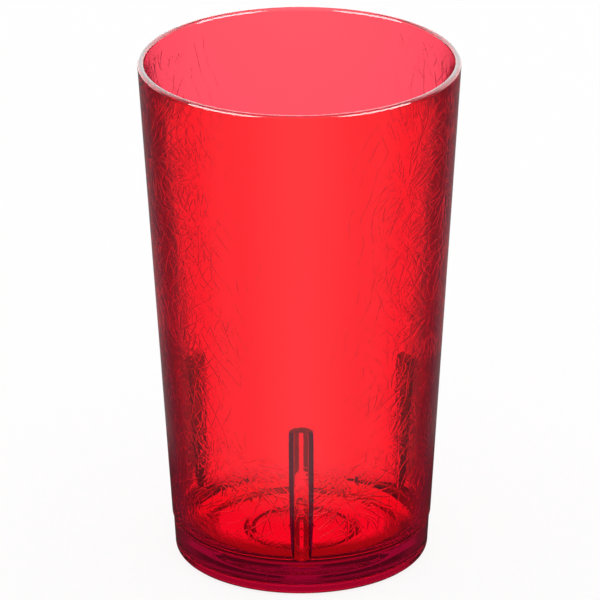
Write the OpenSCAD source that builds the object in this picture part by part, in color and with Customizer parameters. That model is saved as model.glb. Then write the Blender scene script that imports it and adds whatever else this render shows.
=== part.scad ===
// Clear red stacking tumbler, moulded in one piece
// The origin is at the centre of the foot, on the surface that the tumbler stands on.

/* [Body] */
// Height of the tumbler
height = 124; // [100:1:160]
// Outer radius at the lip
rim_r = 38; // [35:0.5:48]
// Outer radius where the smooth base band starts
band_r = 31; // [25:0.5:32]
// Height of the smooth band at the base
band_h = 9.6; // [9:0.2:14]
// Draft of the smooth band, in degrees
band_draft = 3.3; // [1:0.1:5]
// Step from the textured wall down to the smooth band
band_step = 0.25; // [0.1:0.05:0.5]

/* [Wall] */
// Wall thickness at the lip
lip_t = 1.6; // [1.2:0.1:2.4]
// Wall thickness at the top of the base band
wall_t = 2.1; // [1.6:0.1:3]

/* [Base] */
// Height of the inside floor above the table
floor_z = 6.4; // [5:0.2:8]
// Radius between the inside wall and the floor
floor_fillet = 6; // [2:0.5:7]
// Radius of the outer bottom edge
foot_round = 2; // [1:0.25:3]
// Width of the flat ring that the tumbler stands on
foot_ring_w = 3.9; // [2:0.1:6]
// Depth of the hollow inside that ring
hollow_depth = 1.4; // [0.8:0.1:2.5]
// Radius along the edge of the hollow
hollow_round = 0.6; // [0.3:0.1:0.8]

/* [Marks under the floor] */
// Outer radius of the raised ring under the floor
ring_outer_r = 14.3; // [12:0.1:17]
// Inner radius of the raised ring under the floor
ring_inner_r = 11.1; // [8:0.1:11.5]
// Height of the raised ring
ring_h = 0.4; // [0.2:0.05:0.6]
// Radius of the dimple left round the moulding gate
gate_r = 3.2; // [2:0.1:5]
// Depth of that dimple
gate_depth = 0.6; // [0.3:0.1:1]

/* [Stacking ribs] */
// Number of ribs
rib_count = 3; // [3:1:6]
// Width of a rib
rib_w = 5.7; // [3:0.1:8]
// How far the next tumbler's foot ring sits in over a rib
rib_seat = 0.7; // [0.4:0.1:2]
// Gap left between the walls of two stacked tumblers
stack_gap = 0.7; // [0.3:0.1:1.5]

/* [Hidden] */
$fn = 96;
arc_steps = 12;
wall_red = [0.86, 0.06, 0.16, 0.75];
above = 1;

// Lean of the outer and inner sides from upright
wall_lean = atan((rim_r - band_r) / (height - band_h));
inner_lean = atan((rim_r - lip_t - band_r + wall_t) / (height - band_h));

// Radii of the outer and inner sides at a height
function outer_at(z) = band_r + (z - band_h) * tan(wall_lean);
function inner_at(z) = band_r - wall_t + (z - band_h) * tan(inner_lean);

// Points on an arc, from one angle to another
function arc(centre, r, from, to) =
    [for (i = [0:arc_steps]) centre + r * [cos(from + (to - from) * i / arc_steps),
                                           sin(from + (to - from) * i / arc_steps)]];

// Centre of the round lip, which touches both sides and the top
lip_round = lip_t / 2;
lip_z = height - lip_round;
lip_centre = [(outer_at(lip_z) + inner_at(lip_z)) / 2, lip_z];

// Centre of the round bottom edge, which touches the table and the band
band_foot_r = band_r - band_step - band_h * tan(band_draft);
foot_flat_r = band_foot_r + foot_round * tan(band_draft) - foot_round / cos(band_draft);
foot_centre = [foot_flat_r, foot_round];
hollow_r = foot_flat_r - foot_ring_w;

// Centre of the fillet between floor and wall
fillet_z = floor_z + floor_fillet;
fillet_centre = [inner_at(fillet_z) - floor_fillet / cos(inner_lean), fillet_z];

// The foot ring of the next tumbler reaches over the ribs, and its wall stays clear of this one
rib_nose_r = foot_flat_r - rib_seat;
rib_top = (wall_t + stack_gap) / tan(inner_lean);

// Outside and inside of the tumbler, cut through its axis
module section() {
    polygon(concat(
        [[0, 0]],
        arc(foot_centre, foot_round, -90, -band_draft),
        [[band_r - band_step, band_h], [band_r, band_h + band_step]],
        arc(lip_centre, lip_round, -wall_lean, 180 - inner_lean),
        arc(fillet_centre, floor_fillet, -inner_lean, -90),
        [[0, floor_z]]
    ));
}

// The shallow hollow that leaves a foot ring to stand on
module hollow_section() {
    polygon(concat(
        [[0, -above], [hollow_r, -above]],
        arc([hollow_r - hollow_round, hollow_depth - hollow_round], hollow_round, 0, 90),
        [[0, hollow_depth]]
    ));
}

// Ring that stands down from the underside of the floor
module underside_ring() {
    translate([0, 0, hollow_depth - ring_h])
        difference() {
            cylinder(h = 2 * ring_h, r = ring_outer_r);
            translate([0, 0, -above]) cylinder(h = 2 * ring_h + 2 * above, r = ring_inner_r);
        }
}

// Dimple in the middle of the underside
module gate_dimple() {
    translate([0, 0, hollow_depth - above])
        cylinder(h = gate_depth + above, r = gate_r);
}

// Wall, lip, base band, floor and foot in one turned shape
module shell() {
    difference() {
        rotate_extrude() section();
        rotate_extrude() hollow_section();
        gate_dimple();
    }
    underside_ring();
}

// Space inside the middle of the wall, which keeps the ribs off the outer face
module rib_limit() {
    low_z = floor_z - above;
    rotate_extrude()
        polygon([
            [0, low_z],
            [inner_at(low_z) + wall_t / 2, low_z],
            [inner_at(rib_top) + lip_t / 2, rib_top],
            [0, rib_top]
        ]);
}

// Upright half-round bar that the next tumbler's foot comes down on
module stacking_rib() {
    low_z = floor_z - above;
    bar_h = rib_top - low_z + above;
    bar_end_r = inner_at(rib_top) + wall_t;
    axis_r = rib_nose_r + rib_w / 2;
    translate([axis_r, 0, low_z]) cylinder(h = bar_h, d = rib_w);
    translate([axis_r, -rib_w / 2, low_z]) cube([bar_end_r - axis_r, rib_w, bar_h]);
}

// Ribs evenly round the inside, the first one at the front
module stacking_ribs() {
    intersection() {
        rib_limit();
        union() {
            for (i = [0:rib_count - 1])
                rotate([0, 0, -90 + i * 360 / rib_count]) stacking_rib();
        }
    }
}

module tumbler() {
    color(wall_red) {
        shell();
        stacking_ribs();
    }
}

tumbler();
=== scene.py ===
"""A clear red stacking tumbler with a crackled wall, on a pale studio floor."""
import logging
import math
from dataclasses import dataclass, field
from enum import Enum

import bmesh
import bpy
from mathutils import Matrix, Vector


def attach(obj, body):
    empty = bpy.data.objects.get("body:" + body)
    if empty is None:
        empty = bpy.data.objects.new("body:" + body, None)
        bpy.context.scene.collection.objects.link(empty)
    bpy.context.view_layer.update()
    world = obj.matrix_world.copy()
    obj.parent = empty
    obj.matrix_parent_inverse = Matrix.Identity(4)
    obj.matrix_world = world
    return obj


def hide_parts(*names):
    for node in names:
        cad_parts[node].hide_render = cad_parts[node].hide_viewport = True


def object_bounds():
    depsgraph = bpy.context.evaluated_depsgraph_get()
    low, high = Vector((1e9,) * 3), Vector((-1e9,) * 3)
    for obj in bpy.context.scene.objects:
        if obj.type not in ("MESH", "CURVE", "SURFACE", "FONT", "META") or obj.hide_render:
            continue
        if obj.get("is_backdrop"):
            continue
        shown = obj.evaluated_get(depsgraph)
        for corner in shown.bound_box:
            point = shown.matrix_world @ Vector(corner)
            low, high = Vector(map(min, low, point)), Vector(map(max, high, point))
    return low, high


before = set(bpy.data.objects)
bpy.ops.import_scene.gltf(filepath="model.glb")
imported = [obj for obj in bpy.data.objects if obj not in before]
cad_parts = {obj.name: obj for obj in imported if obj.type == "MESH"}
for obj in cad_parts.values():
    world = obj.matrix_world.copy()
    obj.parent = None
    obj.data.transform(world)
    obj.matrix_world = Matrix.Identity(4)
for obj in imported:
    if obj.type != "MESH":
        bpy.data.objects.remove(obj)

LOG = logging.getLogger("tumbler")
MM = 0.001
NODE = "tumbler"
BODY = "root"
SLOT = "clear_red_plastic"
WHITE = (1.0, 1.0, 1.0)
# Middle of a noise and of a to-and-fro wave, which both run from 0 to 1
MIDDLE = 0.5

Pair = tuple[float, float]
Triple = tuple[float, float, float]
Table = tuple[Pair, ...]
Socket = bpy.types.NodeSocket
Sockets = bpy.types.bpy_prop_collection


def linked(name: str, data: bpy.types.ID) -> bpy.types.Object:
    """Makes an object and puts it in the scene.

    Args:
        name: Its name.
        data: Its mesh, lamp or camera.

    Returns:
        The object.
    """
    made = bpy.data.objects.new(name, data)
    bpy.context.scene.collection.objects.link(made)
    return made


def meshed(name: str, work: bmesh.types.BMesh) -> bpy.types.Object:
    """Turns a mesh in work into an object in the scene.

    Args:
        name: Name of the mesh and of the object.
        work: The mesh in work, which is freed.

    Returns:
        The object.
    """
    mesh = bpy.data.meshes.new(name)
    work.to_mesh(mesh)
    work.free()
    return linked(name, mesh)


class Ray(Enum):
    """Kinds of ray that the stage answers in its own way."""

    CAMERA = "Is Camera Ray"
    GLOSSY = "Is Glossy Ray"
    THROUGH = "Is Transmission Ray"


class Veins(Enum):
    """Sets of three vein families, each kept in the mesh as a vector of gaps and a vector of shares."""

    WOUND = "wound"
    BURST = "burst"

    @property
    def gap(self) -> str:
        """Name of the attribute that holds the gaps."""
        return self.value + "_gap"

    @property
    def share(self) -> str:
        """Name of the attribute that holds the shares."""
        return self.value + "_share"


class Net:
    """Adds nodes to a node tree and joins them."""

    def __init__(self, tree: bpy.types.NodeTree) -> None:
        """Keeps the tree."""
        self.tree = tree

    def add(self, kind: str, inputs: dict | None = None, **settings: object) -> bpy.types.Node:
        """Adds one node.

        Args:
            kind: The node's type name.
            inputs: What its inputs are fed with, by name or by number.
            **settings: Properties of the node, by name.

        Returns:
            The new node.
        """
        node = self.tree.nodes.new(kind)
        for name, value in settings.items():
            setattr(node, name, value)
        for key, value in (inputs or {}).items():
            self.feed(node.inputs[key], value)
        return node

    def feed(self, socket: Socket, value: object) -> None:
        """Links a socket to another one, or sets its plain value.

        Args:
            socket: The input to feed.
            value: An output socket, a number or a tuple.
        """
        if isinstance(value, Socket):
            self.tree.links.new(value, socket)
        else:
            socket.default_value = value

    def math(self, operation: str, *values: object, clamp: bool = False) -> Socket:
        """Adds a Math node and gives its result, held between 0 and 1 where clamp is set."""
        inputs = dict(enumerate(values))
        return self.add("ShaderNodeMath", inputs, operation=operation, use_clamp=clamp).outputs[0]

    def vector(self, operation: str, *values: object, scale: object = None) -> Socket:
        """Adds a Vector Math node.

        Args:
            operation: Name of the operation.
            *values: Its vector inputs.
            scale: The factor of a SCALE operation.

        Returns:
            The result, a number for a length or a dot product.
        """
        inputs = dict(enumerate(values))
        if scale is not None:
            inputs["Scale"] = scale
        node = self.add("ShaderNodeVectorMath", inputs, operation=operation)
        return node.outputs["Value" if operation in ("LENGTH", "DOT_PRODUCT") else "Vector"]

    def times(self, value: object, *factors: object) -> Socket:
        """Multiplies a number by others, one after the other.

        Args:
            value: The number.
            *factors: The others.

        Returns:
            The product.
        """
        for factor in factors:
            value = self.math("MULTIPLY", value, factor)
        return value

    def flat(self, vector: object) -> Socket:
        """Drops a vector's height."""
        return self.vector("MULTIPLY", vector, (1.0, 1.0, 0.0))

    def ramp(
        self, value: object, start: object, end: object, low: float = 0.0, high: float = 1.0
    ) -> Socket:
        """Eases a value from low at start to high at end."""
        inputs = dict(enumerate((value, start, end, low, high)))
        return self.add("ShaderNodeMapRange", inputs, interpolation_type="SMOOTHSTEP").outputs[0]

    def split(self, vector: object) -> tuple[Socket, ...]:
        """Takes a vector apart into three numbers."""
        return tuple(self.add("ShaderNodeSeparateXYZ", {0: vector}).outputs)

    def join(self, x: object, y: object, z: object) -> Socket:
        """Makes a vector of three numbers."""
        return self.add("ShaderNodeCombineXYZ", {0: x, 1: y, 2: z}).outputs[0]

    def place(self) -> Socket:
        """The place on the object that a shader is read at, in millimetres."""
        return self.vector("SCALE", self.add("ShaderNodeTexCoord").outputs["Object"], scale=1 / MM)

    def noise(self, vector: object, size: float, detail: float = 2.0) -> bpy.types.Node:
        """Adds a noise texture. Its patches have a size in the units of vector, with finer layers in them."""
        return self.add("ShaderNodeTexNoise", {"Vector": vector, "Scale": 1 / size, "Detail": detail})

    def cells(self, vector: object, size: float, feature: str) -> bpy.types.Node:
        """Adds a texture that measures a feature of cells, which have a size in the units of vector."""
        return self.add("ShaderNodeTexVoronoi", {"Vector": vector, "Scale": 1 / size}, feature=feature)

    def pick(self, share: object, first: object, second: object) -> Socket:
        """Mixes two numbers by the share of the second."""
        return self.add("ShaderNodeMix", {0: share, 2: first, 3: second}).outputs[0]

    def glow(self, colour: Triple, strength: object = 1.0) -> Socket:
        """Adds a shader that gives off light."""
        return self.add("ShaderNodeEmission", {"Color": (*colour, 1.0), "Strength": strength}).outputs[0]

    def blend(self, share: object, first: object, second: object) -> Socket:
        """Mixes two shaders by the share of the second."""
        return self.add("ShaderNodeMixShader", {0: share, 1: first, 2: second}).outputs[0]


@dataclass(frozen=True)
class Sizes:
    """Sizes of the tumbler as its solid has them, in millimetres and degrees.

    The height and the rim are a hair smaller, so that the relief stays inside the solid's box.
    """

    height: float = 123.998
    rim_r: float = 37.98
    band_r: float = 31.0
    band_h: float = 9.6
    band_draft: float = 3.3
    band_step: float = 0.25
    lip_t: float = 1.6
    wall_t: float = 2.1
    floor_z: float = 6.4
    floor_fillet: float = 6.0
    foot_round: float = 2.0
    foot_ring_w: float = 3.9
    hollow_depth: float = 1.4
    hollow_round: float = 0.6
    ring_outer_r: float = 14.3
    ring_inner_r: float = 11.1
    ring_h: float = 0.4
    gate_r: float = 3.2
    gate_depth: float = 0.6
    rib_count: int = 3
    rib_w: float = 5.7
    rib_seat: float = 0.7
    stack_gap: float = 0.7

    @property
    def wall_slope(self) -> float:
        """Rise of the outer radius for each millimetre of height."""
        return (self.rim_r - self.band_r) / (self.height - self.band_h)

    @property
    def inner_slope(self) -> float:
        """Rise of the inner radius for each millimetre of height."""
        return (self.rim_r - self.lip_t - self.band_r + self.wall_t) / (self.height - self.band_h)

    @property
    def foot_flat_r(self) -> float:
        """Outer radius of the flat ring under the foot.

        Returns:
            The radius, from the draft of the band and the rounding of the foot.
        """
        draft = math.radians(self.band_draft)
        band_foot_r = self.band_r - self.band_step - self.band_h * math.tan(draft)
        return band_foot_r + self.foot_round * (math.tan(draft) - 1 / math.cos(draft))

    @property
    def rib_nose_r(self) -> float:
        """Radius that the noses of the ribs reach in to."""
        return self.foot_flat_r - self.rib_seat

    @property
    def rib_top(self) -> float:
        """Height of the tops of the ribs."""
        return (self.wall_t + self.stack_gap) / self.inner_slope

    def outer_at(self, z: float) -> float:
        """Radius of the outer side at a height."""
        return self.band_r + (z - self.band_h) * self.wall_slope

    def inner_at(self, z: float) -> float:
        """Radius of the inner side at a height."""
        return self.band_r - self.wall_t + (z - self.band_h) * self.inner_slope


@dataclass(frozen=True)
class Row:
    """One ring of points round the axis."""

    r: float
    z: float

    def towards(self, other: "Row", share: float) -> "Row":
        """The ring at a share of the way to another."""
        return Row(self.r + (other.r - self.r) * share, self.z + (other.z - self.z) * share)


@dataclass(frozen=True)
class Grain:
    """How finely the moulding is divided: wall_step and inner_step in millimetres, the rest as counts."""

    columns: int = 360
    wall_step: float = 0.63
    inner_step: float = 5.5
    lip_steps: int = 16
    fillet_steps: int = 14
    foot_steps: int = 8
    band_steps: int = 8
    hollow_steps: int = 4
    ring_steps: int = 4


@dataclass
class Section:
    """The closed outline of the tumbler, from the axis below to the axis above, in millimetres."""

    sizes: Sizes
    grain: Grain
    ring_side: float = 1.6

    @staticmethod
    def eased(share: float) -> float:
        """Runs smoothly from 0 at 0 to 1 at 1."""
        return share * share * (3 - 2 * share)

    @staticmethod
    def arc(centre: Pair, radius: float, start: float, end: float, steps: int) -> list[Row]:
        """Points on an arc from one angle in degrees to another, both ends among them."""
        angles = [math.radians(start + (end - start) * i / steps) for i in range(steps + 1)]
        return [Row(centre[0] + radius * math.cos(a), centre[1] + radius * math.sin(a)) for a in angles]

    def foot_arc(self) -> list[Row]:
        """Points of the rounded bottom edge, from the table up to the base band."""
        s, steps = self.sizes, self.grain.foot_steps
        return self.arc((s.foot_flat_r, s.foot_round), s.foot_round, -90, -s.band_draft, steps)

    def foot(self) -> list[Row]:
        """Points of the underside and the foot, from the axis out.

        Returns:
            The points, up to the start of the base band.
        """
        s = self.sizes
        depth = s.hollow_depth
        hollow_r = s.foot_flat_r - s.foot_ring_w
        rows = [Row(0, depth + s.gate_depth), Row(s.gate_r, depth + s.gate_depth), Row(s.gate_r, depth)]
        shares = [i / self.grain.ring_steps for i in range(self.grain.ring_steps + 1)]
        side = [(self.ring_side * share, depth - s.ring_h * self.eased(share)) for share in shares]
        rows += [Row(s.ring_inner_r + across, z) for across, z in side]
        rows += [Row(s.ring_outer_r - across, z) for across, z in reversed(side)]
        centre = (hollow_r - s.hollow_round, depth - s.hollow_round)
        rows += self.arc(centre, s.hollow_round, 90, 0, self.grain.hollow_steps)
        return rows + [Row(hollow_r, 0)] + self.foot_arc()

    def wall(self) -> list[Row]:
        """Points of the base band and the crackled wall.

        Returns:
            The points, from the band up to the lip.
        """
        s = self.sizes
        start, end = s.band_h + s.band_step, s.height - s.lip_t / 2
        steps = round((end - start) / self.grain.wall_step)
        heights = [start + (end - start) * i / steps for i in range(steps)]
        low, top = self.foot_arc()[-1], Row(s.band_r - s.band_step, s.band_h)
        count = self.grain.band_steps
        band = [low.towards(top, i / count) for i in range(1, count + 1)]
        return band + [Row(s.outer_at(z), z) for z in heights]

    def inside(self) -> list[Row]:
        """Points of the lip, the inner side and the floor.

        Returns:
            The points, from the outer edge of the lip to the axis.
        """
        s = self.sizes
        wall_lean, inner_lean = math.atan(s.wall_slope), math.atan(s.inner_slope)
        lip_z = s.height - s.lip_t / 2
        lip_centre = ((s.outer_at(lip_z) + s.inner_at(lip_z)) / 2, lip_z)
        lip_arc = (-math.degrees(wall_lean), 180 - math.degrees(inner_lean))
        rows = self.arc(lip_centre, s.lip_t / 2, *lip_arc, self.grain.lip_steps)
        fillet_z = s.floor_z + s.floor_fillet
        fillet_centre = (s.inner_at(fillet_z) - s.floor_fillet / math.cos(inner_lean), fillet_z)
        fillet_arc = (-math.degrees(inner_lean), -90)
        fillet = self.arc(fillet_centre, s.floor_fillet, *fillet_arc, self.grain.fillet_steps)
        first, last = rows[-1], fillet[0]
        steps = round((first.z - last.z) / self.grain.inner_step)
        rows += [first.towards(last, i / steps) for i in range(1, steps)]
        return rows + fillet + [Row(0, s.floor_z)]

    def rows(self) -> list[Row]:
        """The whole outline."""
        return self.foot() + self.wall() + self.inside()


@dataclass(frozen=True)
class VeinRun:
    """One family of fine veins that wind up the wall side by side.

    It has an even count of veins round the wall. They lean sideways by so many millimetres for each
    millimetre of height, and start shifts the noise that they follow.
    """

    count: int
    lean: float
    start: float

    def gap(self, radius: float) -> float:
        """Millimetres from one vein to the next on a wall of this radius."""
        return math.tau * radius / (self.count * math.hypot(1.0, self.lean))


@dataclass(frozen=True)
class Crackle:
    """The crackled relief on the wall: hair-fine veins that wind up it or run out from scattered points.

    How far each point lies from the nearest vein of a family is one part of a vector that the mesh keeps.
    The scratches on the smooth band are one more family. Sizes are in millimetres.
    """

    runs: tuple[VeinRun, ...] = (
        VeinRun(count=38, lean=1.5, start=11.0),
        VeinRun(count=50, lean=-0.8, start=47.0),
        VeinRun(count=56, lean=0.25, start=83.0),
    )
    mean_r: float = 34.5
    wander: float = 3.4
    wander_size: float = 19.0
    wander_detail: float = 1.5
    even_out: float = 1.6
    bend: float = 4.0
    bend_size: float = 12.0
    patch_size: float = 13.0
    patch_detail: float = 1.0
    patch_edge: Pair = (0.43, 0.53)
    burst_gap: float = 22.0
    burst_starts: tuple[float, ...] = (5.0, 137.0)
    burst_shift: Triple = (1.0, 0.7, 0.3)
    burst_variety: float = 40.0
    burst_rays: float = 4.4
    burst_curl: float = 0.12
    burst_reach: Pair = (17.0, 7.0)
    burst_middle: Pair = (0.8, 2.2)
    burst_border: Pair = (0.4, 2.5)
    burst_spread: float = 0.5
    scratches: VeinRun = VeinRun(count=26, lean=-0.06, start=29.0)
    scratch_edge: Pair = (0.53, 0.6)

    def wound(self, net: Net, place: object, run: VeinRun) -> Socket:
        """Distance from the nearest vein of a family, with a sign for its side.

        Args:
            net: The tree.
            place: Where it is read, in millimetres.
            run: The family.

        Returns:
            The distance in millimetres.
        """
        x, y, z = net.split(place)
        across = net.times(net.math("ARCTAN2", x, y), run.count / math.tau)
        across = net.math("ADD", across, net.times(z, run.lean * run.count / (math.tau * self.mean_r)))
        shifted = net.vector("ADD", place, (run.start,) * 3)
        wave = net.noise(shifted, self.wander_size, self.wander_detail).outputs[0]
        across = net.math("ADD", across, net.times(wave, self.wander))
        to_and_fro = net.math("PINGPONG", across, 1.0)
        return net.times(net.math("SUBTRACT", to_and_fro, MIDDLE), run.gap(self.mean_r))

    def patch(self, net: Net, place: object, start: float, edge: Pair) -> Socket:
        """Shows where the veins of a family stand out.

        Args:
            net: The tree.
            place: Where it is read, in millimetres.
            start: Shift of the patches.
            edge: Values between which they fade in.

        Returns:
            The share, from 0 to 1.
        """
        shifted = net.vector("ADD", place, (start,) * 3)
        wave = net.noise(shifted, self.patch_size, self.patch_detail).outputs[0]
        return net.ramp(wave, *edge)

    def burst(self, net: Net, place: object, start: float) -> tuple[Socket, Socket]:
        """Distance from the nearest vein that runs out from a scattered point, and how much it stands out.

        Args:
            net: The tree.
            place: Where it is read, in millimetres.
            start: Shift of the points.

        Returns:
            The distance in millimetres, with a sign for its side, and the share.
        """
        moved = net.vector("ADD", place, tuple(start * part for part in self.burst_shift))
        seeds = net.cells(moved, self.burst_gap, "F1")
        border = net.cells(moved, self.burst_gap, "DISTANCE_TO_EDGE").outputs[0]
        border = net.times(border, self.burst_gap)
        away = net.vector("SUBTRACT", moved, seeds.outputs["Position"])
        along = net.vector("NORMALIZE", net.vector("CROSS_PRODUCT", (0.0, 0.0, 1.0), net.flat(place)))
        ray = net.join(net.vector("DOT_PRODUCT", away, along), net.split(away)[2], 0.0)
        reach = net.vector("LENGTH", ray)
        own = net.times(net.split(seeds.outputs["Color"])[0], self.burst_variety)
        turned = net.vector("SCALE", net.vector("NORMALIZE", ray), scale=self.burst_rays)
        depth = net.math("ADD", own, net.times(reach, self.burst_curl))
        wave = net.noise(net.vector("ADD", turned, net.join(own, own, depth)), size=1.0, detail=0.0)
        gap = net.math("SUBTRACT", wave.outputs[0], MIDDLE)
        gap = net.times(gap, self.even_out / self.burst_rays, net.math("ADD", reach, self.burst_spread))
        share = net.times(net.ramp(reach, *self.burst_reach), net.ramp(reach, *self.burst_middle))
        return gap, net.times(share, net.ramp(border, *self.burst_border))

    def bent(self, net: Net, place: object) -> Socket:
        """Bends straight lines a little.

        Args:
            net: The tree.
            place: Where it is read, in millimetres.

        Returns:
            The place that is read instead.
        """
        wave = net.noise(place, self.bend_size).outputs["Color"]
        aside = net.vector("SUBTRACT", wave, (MIDDLE,) * 3)
        return net.vector("ADD", place, net.vector("SCALE", aside, scale=self.bend))

    @staticmethod
    def height(net: Net, gaps: object, shares: object, half_width: float) -> Socket:
        """Height of the veins, from 0 to 1, in a geometry or a shader tree.

        Args:
            net: The tree.
            gaps: Vector of three distances.
            shares: Vector of three shares.
            half_width: Half the width of a vein.

        Returns:
            The height.
        """
        total: object = 0.0
        for gap, share in zip(net.split(gaps), net.split(shares)):
            line = net.ramp(net.math("ABSOLUTE", gap), half_width, 0.0)
            total = net.math("MAXIMUM", total, net.times(line, share))
        return total


@dataclass
class Shell:
    """Wall, lip, base and floor of the tumbler as one closed turned mesh."""

    sizes: Sizes
    grain: Grain = field(default_factory=Grain)

    def build(self) -> bpy.types.Object:
        """Turns the section about the axis.

        Returns:
            The shell's object.
        """
        work = bmesh.new()
        rings = [self.ring(work, row) for row in Section(self.sizes, self.grain).rows()]
        for low, high in zip(rings, rings[1:]):
            self.bridge(work, low, high)
        bmesh.ops.recalc_face_normals(work, faces=work.faces)
        return meshed("tumbler_shell", work)

    def ring(self, work: bmesh.types.BMesh, row: Row) -> list[bmesh.types.BMVert]:
        """Adds one ring of points, or one point on the axis.

        Args:
            work: The mesh in work.
            row: The ring's radius and height.

        Returns:
            The new points.
        """
        count = self.grain.columns if row.r else 1
        turns = [math.tau * i / count for i in range(count)]
        r, z = row.r * MM, row.z * MM
        return [work.verts.new((r * math.sin(turn), -r * math.cos(turn), z)) for turn in turns]

    @staticmethod
    def bridge(work: bmesh.types.BMesh, low: list, high: list) -> None:
        """Closes the strip between two rings.

        Args:
            work: The mesh in work.
            low: Points of the first ring.
            high: Points of the second ring.
        """
        count = max(len(low), len(high))
        for i in range(count):
            j = (i + 1) % count
            corners = [low[i % len(low)], low[j % len(low)], high[j % len(high)], high[i % len(high)]]
            work.faces.new(dict.fromkeys(corners))


@dataclass
class StackingRib:
    """One upright half-round bar on the inside, that the next tumbler's foot comes down on.

    Sizes are in millimetres.
    """

    sizes: Sizes
    arc_steps: int = 28
    edge_round: float = 0.3
    edge_steps: int = 4
    root_depth: float = 1.0
    rows_up: int = 12

    def outline(self, z: float, inset: float) -> list[Pair]:
        """The bar's section at a height, with its nose towards the axis.

        Args:
            z: The height.
            inset: How far the section is drawn in.

        Returns:
            Its corners, as distance from the axis and distance sideways.
        """
        s = self.sizes
        axis_r, radius = s.rib_nose_r + s.rib_w / 2, s.rib_w / 2 - inset
        turns = [math.pi / 2 + math.pi * i / self.arc_steps for i in range(self.arc_steps + 1)]
        nose = [(axis_r + radius * math.cos(a), radius * math.sin(a)) for a in turns]
        end = s.inner_at(z) + s.lip_t / 2
        return nose + [(end, -radius), (end, radius)]

    def levels(self) -> list[Pair]:
        """Levels of the bar's sections, up to the rounded top edge.

        Returns:
            For each section its height and how far it is drawn in.
        """
        low, top = self.sizes.floor_z - self.root_depth, self.sizes.rib_top
        straight = top - self.edge_round
        rise = [(low + (straight - low) * i / self.rows_up, 0.0) for i in range(self.rows_up + 1)]
        turns = [math.pi / 2 * i / self.edge_steps for i in range(1, self.edge_steps + 1)]
        edge = self.edge_round
        return rise + [(straight + edge * math.sin(a), edge * (1 - math.cos(a))) for a in turns]

    def build(self) -> bpy.types.Object:
        """Makes the bar as a closed mesh, at the front.

        Returns:
            The bar's object.
        """
        work = bmesh.new()
        rings = []
        for z, inset in self.levels():
            corners = self.outline(z, inset)
            rings.append([work.verts.new((side * MM, -far * MM, z * MM)) for far, side in corners])
        for low, high in zip(rings, rings[1:]):
            Shell.bridge(work, low, high)
        work.faces.new(rings[0])
        work.faces.new(rings[-1])
        bmesh.ops.recalc_face_normals(work, faces=work.faces)
        return meshed("stacking_rib", work)


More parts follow.
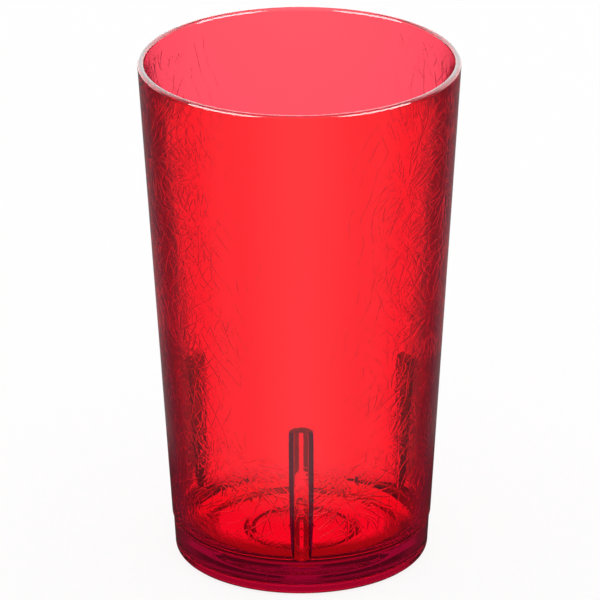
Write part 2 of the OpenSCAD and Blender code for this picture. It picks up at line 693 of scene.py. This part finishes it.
@dataclass
class Moulding:
    """Geometry nodes that join the ribs to the shell and raise the crackled relief on its outer side.

    Sizes are in millimetres.
    """

    sizes: Sizes
    crackle: Crackle
    vein_height: float = 0.01
    half_width: float = 0.6
    outer_skin: float = 0.3
    foot_margin: Pair = (0.3, 1.0)
    lip_margin: Pair = (2.2, 4.0)
    scratch_fade: float = 1.5
    scratch_margin: Pair = (0.1, 0.8)
    tree: bpy.types.NodeTree | None = None
    inputs: dict[str, str] = field(default_factory=dict)

    def socket(self, name: str, kind: str) -> None:
        """Adds a named input to the tree and keeps its identifier."""
        made = self.tree.interface.new_socket(name=name, in_out="INPUT", socket_type=kind)
        self.inputs[name] = made.identifier

    def build(self) -> None:
        """Builds the tree with its named inputs."""
        self.tree = bpy.data.node_groups.new("tumbler_moulding", "GeometryNodeTree")
        self.socket("Shell", "NodeSocketGeometry")
        self.socket("Vein height", "NodeSocketFloat")
        self.socket("Rib", "NodeSocketObject")
        self.socket("Rib count", "NodeSocketInt")
        self.socket("Plastic", "NodeSocketMaterial")
        self.tree.interface.new_socket(name="Tumbler", in_out="OUTPUT", socket_type="NodeSocketGeometry")
        net = Net(self.tree)
        given = net.add("NodeGroupInput").outputs
        union = net.add("GeometryNodeMeshBoolean", operation="UNION", solver="MANIFOLD")
        for solid in (given["Shell"], self.set_ribs(net, given)):
            net.feed(union.inputs["Mesh 2"], solid)
        raised = self.raise_relief(net, given, union.outputs["Mesh"])
        whole = net.add("GeometryNodeRealizeInstances", {0: raised}).outputs[0]
        dressed = net.add("GeometryNodeSetMaterial", {"Geometry": whole, "Material": given["Plastic"]})
        net.add("NodeGroupOutput", {0: dressed.outputs[0]})

    def wall(self, net: Net, place: object) -> Socket:
        """Shows where the crackle lies: on the outer side, between the band and the lip.

        Args:
            net: The tree.
            place: Where it is read, in millimetres.

        Returns:
            The mask.
        """
        s = self.sizes
        z = net.split(place)[2]
        radius = net.vector("LENGTH", net.flat(place))
        side = net.math("ADD", net.times(z, s.wall_slope), s.outer_at(0) - self.outer_skin)
        outer = net.math("GREATER_THAN", radius, side)
        low = net.ramp(z, *(s.band_h + part for part in self.foot_margin))
        top = net.ramp(z, *(s.height - part for part in self.lip_margin))
        return net.times(outer, net.times(low, top))

    def band(self, net: Net, place: object) -> Socket:
        """Shows where the scratches lie: on the smooth band at the base.

        Args:
            net: The tree.
            place: Where it is read, in millimetres.

        Returns:
            The mask.
        """
        s = self.sizes
        z = net.split(place)[2]
        radius = net.vector("LENGTH", net.flat(place))
        outer = net.math("GREATER_THAN", radius, s.foot_flat_r + self.outer_skin)
        low = net.ramp(z, s.foot_round, s.foot_round + self.scratch_fade)
        top = net.ramp(z, *(s.band_h - part for part in self.scratch_margin))
        return net.times(outer, net.times(low, top))

    def raise_relief(self, net: Net, given: Sockets, joined: object) -> Socket:
        """Keeps the crackle as attributes and moves the wall's points outwards along its veins.

        Args:
            net: The tree.
            given: The tree's inputs.
            joined: The shell with its ribs.

        Returns:
            The tumbler with its relief.
        """
        crackle = self.crackle
        position = net.add("GeometryNodeInputPosition").outputs[0]
        place = net.vector("SCALE", position, scale=1 / MM)
        bent = crackle.bent(net, place)
        wall = self.wall(net, place)
        wound = net.join(*(crackle.wound(net, bent, run) for run in crackle.runs))
        patches = [crackle.patch(net, place, run.start, crackle.patch_edge) for run in crackle.runs]
        bursts = [crackle.burst(net, bent, start) for start in crackle.burst_starts]
        marks = crackle.scratches
        marked = crackle.patch(net, place, marks.start, crackle.scratch_edge)
        marked = net.times(self.band(net, place), marked)
        stored = {
            Veins.WOUND.gap: wound,
            Veins.WOUND.share: net.vector("SCALE", net.join(*patches), scale=wall),
            Veins.BURST.gap: net.join(*(gap for gap, _ in bursts), crackle.wound(net, place, marks)),
            Veins.BURST.share: net.join(*(net.times(share, wall) for _, share in bursts), marked),
        }
        kept = joined
        for name, value in stored.items():
            kept = net.add(
                "GeometryNodeStoreNamedAttribute",
                {"Name": name, "Geometry": kept, "Value": value},
                data_type="FLOAT_VECTOR",
                domain="POINT",
            ).outputs[0]
        heights = []
        for kind in Veins:
            gaps, shares = self.read(net, kind.gap), self.read(net, kind.share)
            heights.append(crackle.height(net, gaps, shares, self.half_width))
        height = net.times(net.math("MAXIMUM", *heights), given["Vein height"])
        outward = net.vector("NORMALIZE", net.flat(position))
        move = {"Geometry": kept, "Offset": net.vector("SCALE", outward, scale=height)}
        return net.add("GeometryNodeSetPosition", move).outputs[0]

    @staticmethod
    def read(net: Net, name: str) -> Socket:
        """Reads a vector that was stored under a name."""
        node = net.add("GeometryNodeInputNamedAttribute", {"Name": name}, data_type="FLOAT_VECTOR")
        return node.outputs["Attribute"]

    @staticmethod
    def set_ribs(net: Net, given: Sockets) -> Socket:
        """Sets one rib at the front and the others evenly round.

        Args:
            net: The tree.
            given: The tree's inputs.

        Returns:
            The ribs as one mesh.
        """
        rib = net.add("GeometryNodeObjectInfo", {"Object": given["Rib"]}).outputs["Geometry"]
        points = net.add("GeometryNodePoints", {"Count": given["Rib count"]}).outputs[0]
        index = net.add("GeometryNodeInputIndex").outputs[0]
        turn = net.times(net.math("DIVIDE", index, given["Rib count"]), math.tau)
        inputs = {"Points": points, "Instance": rib, "Rotation": net.join(0.0, 0.0, turn)}
        ribs = net.add("GeometryNodeInstanceOnPoints", inputs).outputs[0]
        return net.add("GeometryNodeRealizeInstances", {0: ribs}).outputs[0]

    def bake(
        self, shell: bpy.types.Object, rib: bpy.types.Object, plastic: bpy.types.Material
    ) -> bpy.types.Object:
        """Runs the nodes on the shell and keeps the result as a plain mesh.

        Args:
            shell: The turned shell.
            rib: One rib.
            plastic: The material of the tumbler.

        Returns:
            The tumbler's object.
        """
        nodes = shell.modifiers.new("moulding", "NODES")
        nodes.node_group = self.tree
        nodes[self.inputs["Vein height"]] = self.vein_height * MM
        nodes[self.inputs["Rib"]] = rib
        nodes[self.inputs["Rib count"]] = self.sizes.rib_count
        nodes[self.inputs["Plastic"]] = plastic
        graph = bpy.context.evaluated_depsgraph_get()
        mesh = bpy.data.meshes.new_from_object(shell.evaluated_get(graph), depsgraph=graph)
        mesh.name = "red_tumbler"
        tumbler = linked("red_tumbler", mesh)
        shell.modifiers.clear()
        for spare in (shell, rib):
            bpy.data.objects.remove(spare)
        return tumbler


@dataclass(frozen=True)
class RedPlastic:
    """Clear red moulding plastic: glossy, tinted by depth, and bumped along the fine veins.

    Sizes are in millimetres. The haze is roughness, in soft patches.
    """

    tint: Triple = (1.0, 0.19, 0.122)
    taken_per_mm: Triple = (0.011, 0.48, 0.018)
    ior: float = 1.57
    vein_half_width: float = 0.22
    vein_depth: float = 0.0175
    haze: float = 0.015
    haze_size: float = 6.0
    haze_detail: float = 1.0
    haze_edge: Pair = (0.5, 0.72)

    def build(self, crackle: Crackle) -> bpy.types.Material:
        """Builds the material.

        Args:
            crackle: The crackle that the mesh carries.

        Returns:
            The material.
        """
        made = bpy.data.materials.new(SLOT)
        made.use_nodes = True
        net = Net(made.node_tree)
        net.tree.nodes.clear()
        cloud = net.noise(net.place(), self.haze_size, self.haze_detail).outputs[0]
        bump = {"Strength": 1.0, "Distance": self.vein_depth * MM, "Height": self.veins(net, crackle)}
        shader = net.add("ShaderNodeBsdfPrincipled", {
            "Base Color": (*self.tint, 1.0),
            "Metallic": 0.0,
            "Roughness": net.ramp(cloud, *self.haze_edge, 0.0, self.haze),
            "IOR": self.ior,
            "Transmission Weight": 1.0,
            "Normal": net.add("ShaderNodeBump", bump).outputs[0],
        })
        most = max(self.taken_per_mm)
        shown = (*(1 - part / most for part in self.taken_per_mm), 1.0)
        volume = net.add("ShaderNodeVolumeAbsorption", {"Color": shown, "Density": most / MM})
        net.add("ShaderNodeOutputMaterial", {"Surface": shader.outputs[0], "Volume": volume.outputs[0]})
        return made

    @staticmethod
    def read(net: Net, name: str) -> Socket:
        """Reads a vector that the mesh carries under a name."""
        node = net.add("ShaderNodeAttribute", attribute_type="GEOMETRY", attribute_name=name)
        return node.outputs["Vector"]

    def veins(self, net: Net, crackle: Crackle) -> Socket:
        """Height of the fine veins, from the mesh's attributes.

        Args:
            net: The material's tree.
            crackle: The crackle.

        Returns:
            The height, from 0 to 1.
        """
        total: object = 0.0
        for kind in Veins:
            gaps, shares = self.read(net, kind.gap), self.read(net, kind.share)
            height = crackle.height(net, gaps, shares, self.vein_half_width)
            total = net.math("MAXIMUM", total, height)
        return total


@dataclass
class Tumbler:
    """The whole tumbler: shell, relief and stacking ribs in one closed mesh.

    Edges that turn by more than sharp_angle, in degrees, are shaded sharp.
    """

    sizes: Sizes = field(default_factory=Sizes)
    crackle: Crackle = field(default_factory=Crackle)
    sharp_angle: float = 34.0
    piece: bpy.types.Object | None = None

    def build(self, plastic: bpy.types.Material) -> None:
        """Builds the mesh.

        Args:
            plastic: The material that it gets.
        """
        shell = Shell(self.sizes).build()
        rib = StackingRib(self.sizes).build()
        moulding = Moulding(self.sizes, self.crackle)
        moulding.build()
        self.piece = moulding.bake(shell, rib, plastic)

    def dress(self) -> None:
        """Smooths the shading, apart from real edges, and ties the piece to the frame."""
        mesh = self.piece.data
        for face in mesh.polygons:
            face.use_smooth = True
        mesh.set_sharp_from_angle(angle=math.radians(self.sharp_angle))
        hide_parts(NODE)
        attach(self.piece, BODY)

    def report(self) -> None:
        """Logs the size of the mesh and whether it is closed."""
        mesh = self.piece.data
        mesh.calc_loop_triangles()
        work = bmesh.new()
        work.from_mesh(mesh)
        open_edges = sum(1 for edge in work.edges if not edge.is_manifold)
        volume = work.calc_volume() / MM**3
        work.free()
        triangles = len(mesh.loop_triangles)
        LOG.info("%s: %d triangles, %d open edges, %.0f mm3", self.piece.name, triangles, open_edges, volume)


@dataclass
class Surround:
    """The light round the tumbler, with tables for rays through it, bounced inside it or mirrored by it.

    Tables give brightness by the angle from straight behind the tumbler, in degrees. Pairs are the ends
    of an ease, as heights of the ray's direction or, where the name ends in side, in those degrees. A ray
    with more bounces inside the plastic than bounced_from takes the bounced table, and one with more than
    led_from was led along inside the wall. Glossy Depth counts them.
    """

    through: Table = (
        (0, 1.25), (5.6, 1.25), (8.6, 0.2), (30, 0.2), (46, 1.0), (180, 1.15)
    )
    bounced: Table = (
        (0, 0.7), (4, 0.7), (8, 0.18), (40, 0.18), (50, 0.35), (90, 0.3), (145, 0.1), (180, 0.1)
    )
    table_below: float = 1.15
    table_from: Pair = (-0.48, -0.55)
    raised: float = 0.6
    raised_from: Pair = (-0.15, 0.1)
    raised_side: Pair = (55.0, 75.0)
    bounced_from: float = 0.5
    kept_each_bounce: float = 0.87
    kept_at_least: float = 0.6
    led_along: float = 6.0
    led_from: float = 26.5
    mirrored: Table = (
        (0, 0.2), (28, 0.12), (45, 0.06), (55, 0.05), (70, 0.12), (90, 0.15), (125, 0.4), (180, 0.72)
    )
    overhead: float = 0.9
    overhead_from: Pair = (0.05, 0.35)
    strip: float = 2.4
    strip_side: Pair = (55.0, 78.0)
    strip_low: Pair = (-0.34, -0.2)
    strip_high: Pair = (0.6, 0.8)

    def around(self, net: Net, angle: object, table: Table) -> Socket:
        """Brightness by the angle from straight behind the tumbler.

        Args:
            net: The world's tree.
            angle: The angle in degrees, without its sign.
            table: Angles, each with its brightness.

        Returns:
            The brightness.
        """
        total: object = table[0][1]
        for (start, low), (end, high) in zip(table, table[1:]):
            if high != low:
                total = net.math("ADD", total, net.ramp(angle, start, end, 0.0, high - low))
        return total

    def behind(self, net: Net, angle: object, z: object, light: Sockets) -> Socket:
        """Brightness that shows through the plastic, less where it was reflected inside first.

        Steeply down it meets the lit table. Level or upwards, bounced light meets the raised backdrop.

        Args:
            net: The world's tree.
            angle: The angle in degrees, without its sign.
            z: Height of the ray's direction.
            light: Outputs of the Light Path node.

        Returns:
            The brightness.
        """
        count = light["Glossy Depth"]
        again = net.math("POWER", self.kept_each_bounce, net.math("SUBTRACT", count, 1.0))
        again = net.math("MAXIMUM", again, self.kept_at_least)
        lift = net.times(net.ramp(z, *self.raised_from), net.ramp(angle, *reversed(self.raised_side)))
        bounced = net.math("MAXIMUM", self.around(net, angle, self.bounced), net.times(lift, self.raised))
        bounced = net.times(bounced, again)
        bounced = net.pick(net.math("GREATER_THAN", count, self.led_from), bounced, self.led_along)
        table = net.ramp(z, *self.table_from, 0.0, self.table_below)
        straight = net.math("MAXIMUM", self.around(net, angle, self.through), table)
        return net.pick(net.math("GREATER_THAN", count, self.bounced_from), straight, bounced)

    def reflected(self, net: Net, angle: object, z: object) -> Socket:
        """Brightness that shows in reflections: a light strip behind, and a pale ceiling.

        Args:
            net: The world's tree.
            angle: The angle in degrees, without its sign.
            z: Height of the ray's direction.

        Returns:
            The brightness.
        """
        high = net.ramp(z, *self.overhead_from, 0.0, self.overhead)
        level = net.math("MAXIMUM", self.around(net, angle, self.mirrored), high)
        side = net.ramp(angle, *reversed(self.strip_side))
        band = net.times(net.ramp(z, *self.strip_low), net.ramp(z, *reversed(self.strip_high)))
        return net.math("ADD", level, net.times(side, band, self.strip))

    def build(self) -> None:
        """Builds the world."""
        world = bpy.data.worlds.new("studio")
        bpy.context.scene.world = world
        world.use_nodes = True
        net = Net(world.node_tree)
        net.tree.nodes.clear()
        x, y, z = net.split(net.add("ShaderNodeTexCoord").outputs["Generated"])
        angle = net.math("ABSOLUTE", net.times(net.math("ARCTAN2", x, y), 180 / math.pi))
        light = net.add("ShaderNodeLightPath").outputs
        level = net.pick(light[Ray.GLOSSY.value], 1.0, self.reflected(net, angle, z))
        level = net.pick(light[Ray.THROUGH.value], level, self.behind(net, angle, z, light))
        back = net.add("ShaderNodeBackground", {"Color": (*WHITE, 1.0), "Strength": level})
        net.add("ShaderNodeOutputWorld", {0: back.outputs[0]})


@dataclass
class Floor:
    """The pale floor, which takes a soft shadow.

    Only the camera sees all of it. A ray that came through the plastic meets a crimson ring under the
    foot, a glow of painted light and painted shade for the red light that the plastic lets onto the table,
    round an oval patch that is left clear, a painted pool of the light that falls through the cup. A ray
    that was mirrored meets a dark disc, a painted shade round the foot. Elsewhere they pass through the
    floor, and so do rays that bounced in the plastic more often than painted_ring_up_to. Sizes are in
    millimetres, apart from size, which is in metres.
    """

    size: float = 6.0
    albedo: float = 0.97
    white_share: float = 0.85
    # Painted pool of light: an oval left clear inside the ring, so that the bright surround shows there as
    # the light that falls through the cup.
    lit_pool_middle: Pair = (0.0, 6.5)
    lit_pool_half: Pair = (23.5, 15.5)
    patch_edge: Pair = (0.84, 1.1)
    # Painted light and shade: a crimson glow under the foot, seen only by rays through the plastic, dim
    # inside the foot ring, darkest under it, brightest behind.
    painted_ring_end: Pair = (28.5, 32.0)
    painted_ring_colour: Triple = (1.0, 0.02, 0.46)
    painted_light_inside: float = 0.38
    painted_shade_under_foot: float = 0.06
    painted_light_behind: float = 1.3
    foot_edge: Pair = (23.5, 26.5)
    behind_from: Pair = (0.0, 12.0)
    painted_ring_up_to: float = 10.5
    # Painted shade: a dark disc round the foot that only mirrored rays see.
    painted_shade_near: Pair = (60.0, 90.0)
    painted_shade_level: float = 0.03
    drop: float = 0.1

    def build(self) -> None:
        """Makes the floor and marks it as part of the stage."""
        work = bmesh.new()
        half = self.size / 2
        around = ((-1, -1), (1, -1), (1, 1), (-1, 1))
        work.faces.new([work.verts.new((x * half, y * half, -self.drop * MM)) for x, y in around])
        floor = meshed("studio_floor", work)
        floor.data.materials.append(self.paint())
        floor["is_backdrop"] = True

    def paint(self) -> bpy.types.Material:
        """Builds the floor's material.

        Returns:
            The material.
        """
        made = bpy.data.materials.new("pale_floor")
        made.use_nodes = True
        net = Net(made.node_tree)
        net.tree.nodes.clear()
        light = net.add("ShaderNodeLightPath").outputs
        place = net.place()
        radius = net.vector("LENGTH", place)
        # Painted pool of light: the ring is left out inside this oval.
        from_lit_pool = net.vector("SUBTRACT", place, (*self.lit_pool_middle, 0.0))
        from_lit_pool = net.vector("MULTIPLY", from_lit_pool, (1 / self.lit_pool_half[0], 1 / self.lit_pool_half[1], 0.0))
        start = net.ramp(net.vector("LENGTH", from_lit_pool), *self.patch_edge)
        direct = net.math("LESS_THAN", light["Glossy Depth"], self.painted_ring_up_to)
        # Painted light and shade: the crimson ring under the foot, for rays through the plastic.
        ring = net.times(start, net.ramp(radius, *reversed(self.painted_ring_end)), direct)
        matte = net.add("ShaderNodeBsdfDiffuse", {"Color": (self.albedo,) * 3 + (1.0,)})
        shown = net.blend(self.white_share, matte.outputs[0], net.glow(WHITE))
        # Painted shade round the foot, seen only in reflections.
        near = net.ramp(radius, *reversed(self.painted_shade_near))
        only_mirrored = net.math("SUBTRACT", light[Ray.GLOSSY.value], light[Ray.THROUGH.value], clamp=True)
        clear, dark = net.add("ShaderNodeBsdfTransparent"), net.glow((self.painted_shade_level,) * 3)
        away = net.blend(net.times(near, only_mirrored), clear.outputs[0], dark)
        painted_ring = self.painted_ring(net, radius, net.split(place)[1])
        unseen = net.blend(net.times(ring, light[Ray.THROUGH.value]), away, painted_ring)
        net.add("ShaderNodeOutputMaterial", {"Surface": net.blend(light[Ray.CAMERA.value], unseen, shown)})
        return made

    def painted_ring(self, net: Net, radius: object, y: object) -> Socket:
        """Painted light and shade under the foot: one level inside the foot ring, one under it, one behind.

        Args:
            net: The material's tree.
            radius: Distance from the axis, in millimetres.
            y: Distance behind the axis.

        Returns:
            The shader.
        """
        # Painted light inside the foot ring and behind it, painted shade under the foot ring.
        front = net.ramp(radius, *self.foot_edge, self.painted_light_inside, self.painted_shade_under_foot)
        back = net.ramp(y, *self.behind_from)
        level = net.times(front, net.math("SUBTRACT", 1.0, back))
        return net.glow(self.painted_ring_colour, net.math("ADD", level, net.times(back, self.painted_light_behind)))


@dataclass(frozen=True)
class Softbox:
    """A rectangular lamp that shows only in reflections.

    Angles are in degrees, sizes in metres and the power in watts.
    """

    name: str
    azimuth: float
    elevation: float = 24.0
    width: float = 0.95
    height: float = 0.8
    power: float = 28.0
    distance: float = 1.0
    aim_z: float = 0.1

    def build(self) -> None:
        """Hangs the lamp so that it faces the tumbler."""
        lamp = bpy.data.lights.new(self.name, "AREA")
        lamp.shape = "RECTANGLE"
        lamp.size, lamp.size_y = self.width, self.height
        lamp.energy = self.power
        hung = linked(self.name, lamp)
        a, e = math.radians(self.azimuth), math.radians(self.elevation)
        away = Vector((math.sin(a) * math.cos(e), -math.cos(a) * math.cos(e), math.sin(e)))
        hung.location = away * self.distance + Vector((0, 0, self.aim_z))
        hung.rotation_euler = away.to_track_quat("Z", "Y").to_euler()
        hung.visible_camera = False
        hung.visible_diffuse = False
        hung.visible_transmission = False


@dataclass(frozen=True)
class Viewpoint:
    """The camera, at the photograph's viewing angle.

    Distances are in millimetres, angles in degrees and places in the frame in pixels.
    """

    pitch: float = 22.2
    roll: float = -0.27
    distance: float = 1520.0
    focal_px: float = 6400.0
    centre_px: Pair = (300.5, 305.4)
    aim_z: float = 62.0
    frame_px: float = 600.0
    sensor: float = 36.0

    def build(self) -> None:
        """Makes the camera and puts it in use."""
        lens = bpy.data.cameras.new("camera")
        camera = linked("camera", lens)
        e = math.radians(self.pitch)
        away = Vector((0, -math.cos(e), math.sin(e))) * self.distance * MM
        camera.location = Vector((0, 0, self.aim_z * MM)) + away
        tilt = Matrix.Rotation(math.pi / 2 - e, 3, "X") @ Matrix.Rotation(math.radians(self.roll), 3, "Z")
        camera.rotation_euler = tilt.to_euler()
        lens.sensor_width = self.sensor
        lens.lens = self.focal_px / self.frame_px * self.sensor
        half = self.frame_px / 2
        lens.shift_x = (half - self.centre_px[0]) / self.frame_px
        lens.shift_y = (self.centre_px[1] - half) / self.frame_px
        bpy.context.scene.camera = camera


@dataclass
class Studio:
    """Floor, surround, lamps and camera."""

    lamps: tuple[Softbox, ...] = (Softbox("softbox_left", -57.0), Softbox("softbox_right", 57.0))
    bounces: int = 64

    def build(self) -> None:
        """Builds the stage and sets how far light is followed through the plastic."""
        Viewpoint().build()
        Surround().build()
        Floor().build()
        for lamp in self.lamps:
            lamp.build()
        scene = bpy.context.scene
        scene.view_settings.view_transform = "Standard"
        scene.cycles.max_bounces = self.bounces
        scene.cycles.transmission_bounces = self.bounces
        scene.cycles.glossy_bounces = self.bounces


def corners() -> list[list[float]]:
    """Lowest and highest corner of the shown object, as plain lists."""
    return [[float(part) for part in corner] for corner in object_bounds()]


def main() -> None:
    """Builds the stage and the tumbler."""
    logging.basicConfig(level=logging.INFO, format="%(name)s: %(message)s")
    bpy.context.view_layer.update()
    Studio().build()
    LOG.info("studio: camera, floor, surround and lamps")
    tumbler = Tumbler()
    tumbler.build(RedPlastic().build(tumbler.crackle))
    tumbler.dress()
    tumbler.report()


if __name__ == "__main__":
    main()
